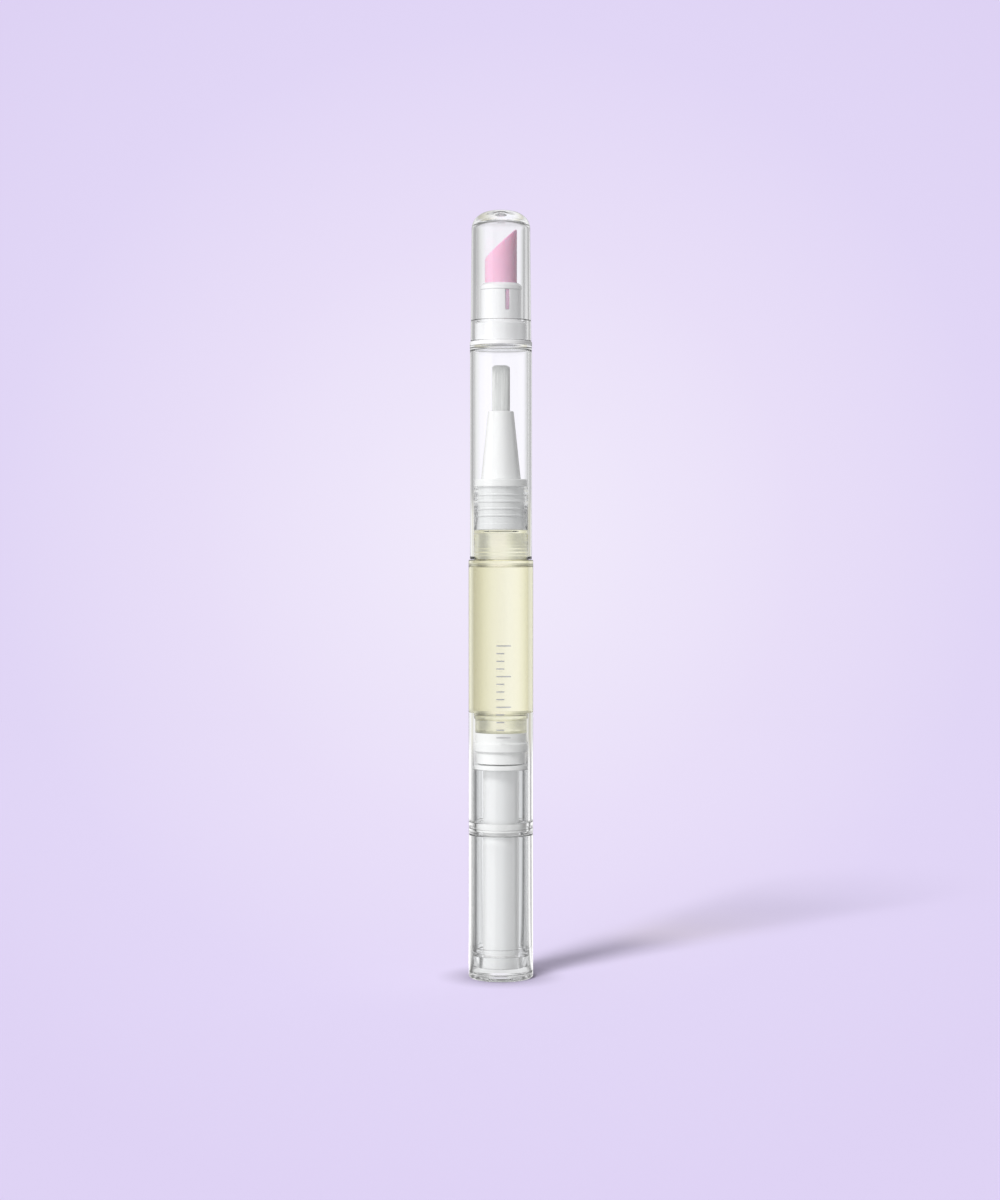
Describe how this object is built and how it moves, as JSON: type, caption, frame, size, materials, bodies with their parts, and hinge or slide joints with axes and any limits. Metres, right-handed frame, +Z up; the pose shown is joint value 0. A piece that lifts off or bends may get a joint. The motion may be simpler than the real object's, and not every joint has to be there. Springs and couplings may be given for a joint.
{
  "type": "nail oil pen",
  "caption": "Clear twist-up nail oil pen with a capped brush, pale oil, a piston on a screw drive, and a slanted silicone cuticle pusher under its own dome cap.",
  "frame": {"origin": "centre of the end plug's lower face, on the pen's axis", "axes": "+Z up along the pen from the end plug to the dome cap; -Y is the side that the picture shows; the pusher's high side is at +X"},
  "size_m": [0.0116, 0.0116, 0.1366],
  "materials": {
    "clear_plastic": "clear, polished mould finish",
    "white_plastic": "satin",
    "pearl_plastic": "pearl satin",
    "milky_plastic": "natural, slightly translucent",
    "bristle_nylon": "fine filaments",
    "pink_silicone": "soft satin",
    "pale_oil": "clear pale yellow liquid"
  },
  "bodies": {
    "barrel": {"barrel": "clear_plastic", "bearing_sleeve": "clear_plastic", "guide_nut": "milky_plastic", "ratchet_ring": "milky_plastic", "neck_plug": "milky_plastic", "nozzle_cone": "white_plastic", "feed_tube": "white_plastic", "tuft_collar": "white_plastic", "bristles": "bristle_nylon", "neck_oil": "pale_oil", "oil": "pale_oil"},
    "piston": {"piston": "milky_plastic", "cup_oil": "pale_oil"},
    "knob": {"knob_shell": "clear_plastic", "end_plug": "clear_plastic", "driver_tube": "white_plastic", "click_ring": "white_plastic"},
    "screw": {"screw_rod": "white_plastic"},
    "brush_cap": {"brush_cap": "clear_plastic", "pusher_holder": "pearl_plastic", "pusher_tip": "pink_silicone"},
    "pusher_cap": {"pusher_cap": "clear_plastic"}
  },
  "joints": [
    {"name": "knob_twist", "type": "hinge", "parent": "barrel", "child": "knob", "pos_m": [0, 0, 0], "axis": [0, 0, 1], "range_deg": [0, 6120]},
    {"name": "screw_feed", "type": "slide", "parent": "knob", "child": "screw", "axis": [0, 0, 1], "range_m": [0, 0.0255]},
    {"name": "piston_feed", "type": "slide", "parent": "barrel", "child": "piston", "axis": [0, 0, 1], "range_m": [0, 0.0255], "deforming": ["oil"]},
    {"name": "brush_cap_pull", "type": "slide", "parent": "barrel", "child": "brush_cap", "axis": [0, 0, 1], "range_m": [0, 0.04]},
    {"name": "pusher_cap_pull", "type": "slide", "parent": "brush_cap", "child": "pusher_cap", "axis": [0, 0, 1], "range_m": [0, 0.025]}
  ],
  "couplings": [
    {"joint": "knob_twist", "follows": "piston_feed", "rad_per_m": 4188.8},
    {"joint": "screw_feed", "follows": "piston_feed", "ratio": 1}
  ]
}
